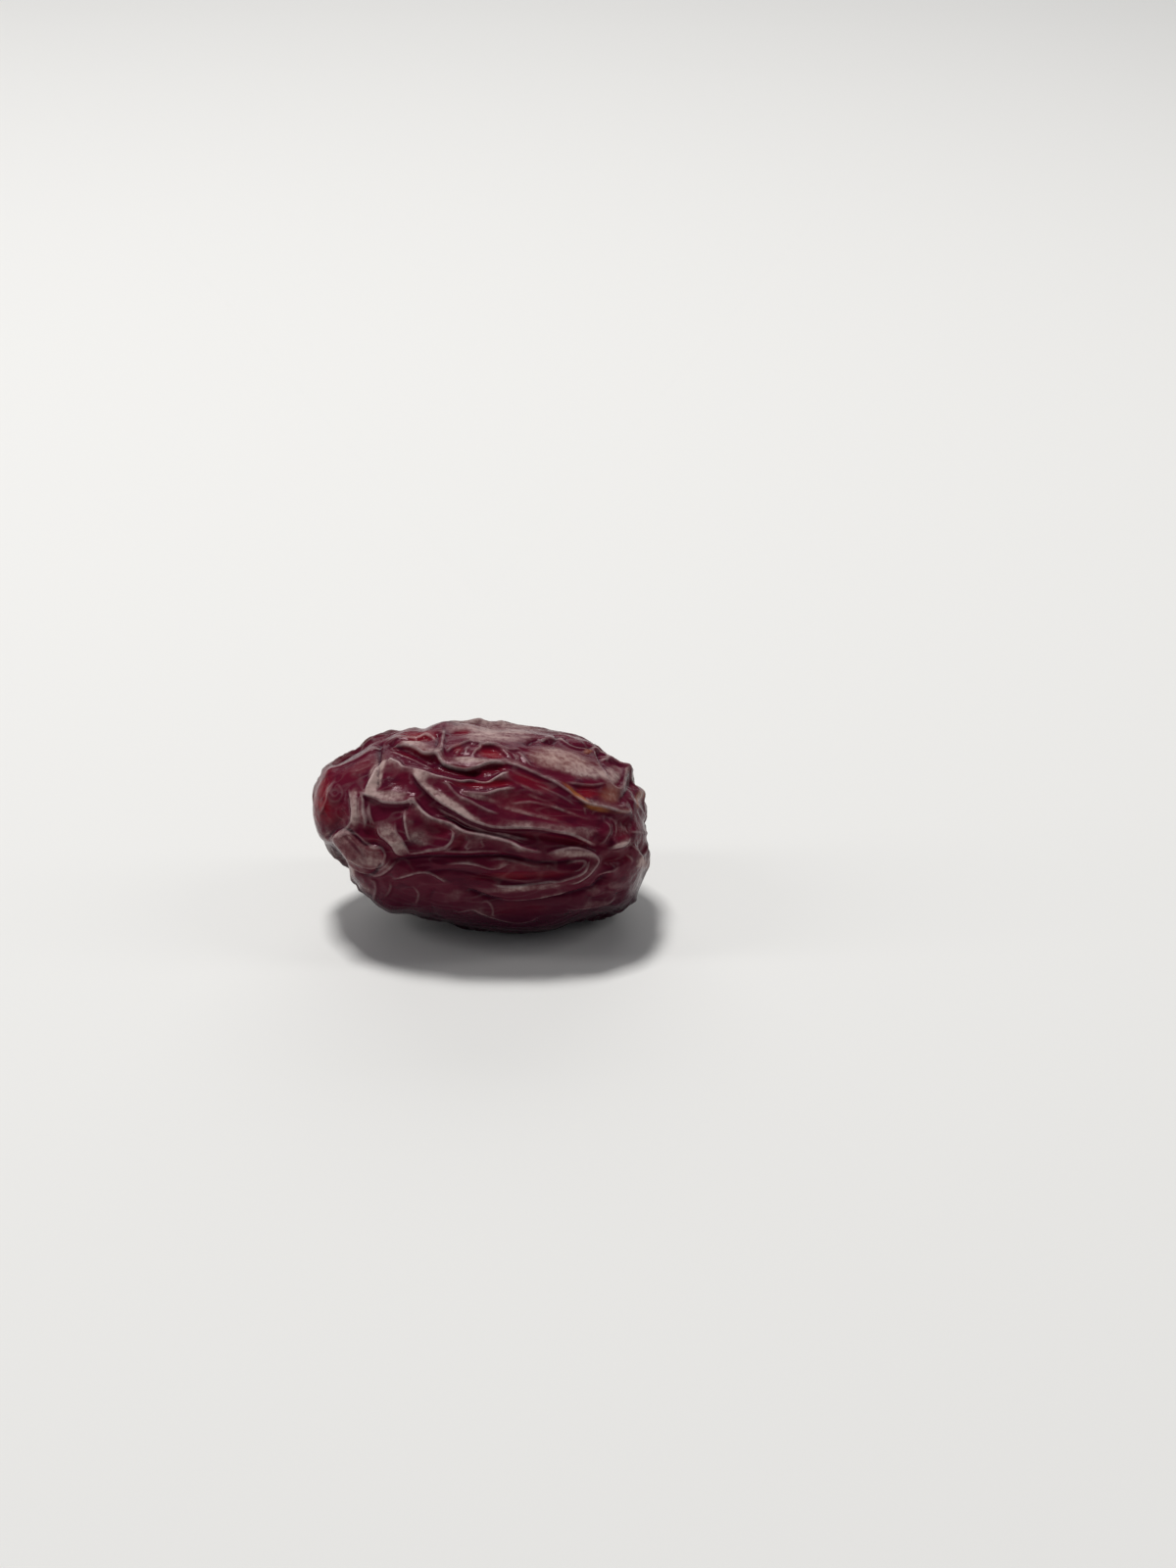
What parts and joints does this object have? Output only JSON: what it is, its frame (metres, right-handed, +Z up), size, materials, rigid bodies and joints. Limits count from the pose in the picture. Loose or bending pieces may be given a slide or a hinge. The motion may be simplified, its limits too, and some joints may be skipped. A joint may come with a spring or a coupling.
{
  "type": "medjool date",
  "caption": "Whole dried medjool date lying on its side, skin in long folds, rounded tip and puckered stem scar.",
  "frame": {"origin": "on the surface the fruit lies on, under the middle of its bounding box", "axes": "+X along the fruit from its tip to its stem end, +Z up"},
  "size_m": [0.046, 0.0282, 0.0273],
  "materials": {
    "date_skin": "semi-gloss wrinkled skin, dark red-brown with a greyish waxy bloom"
  },
  "bodies": {
    "root": {"date": "date_skin"}
  },
  "joints": []
}
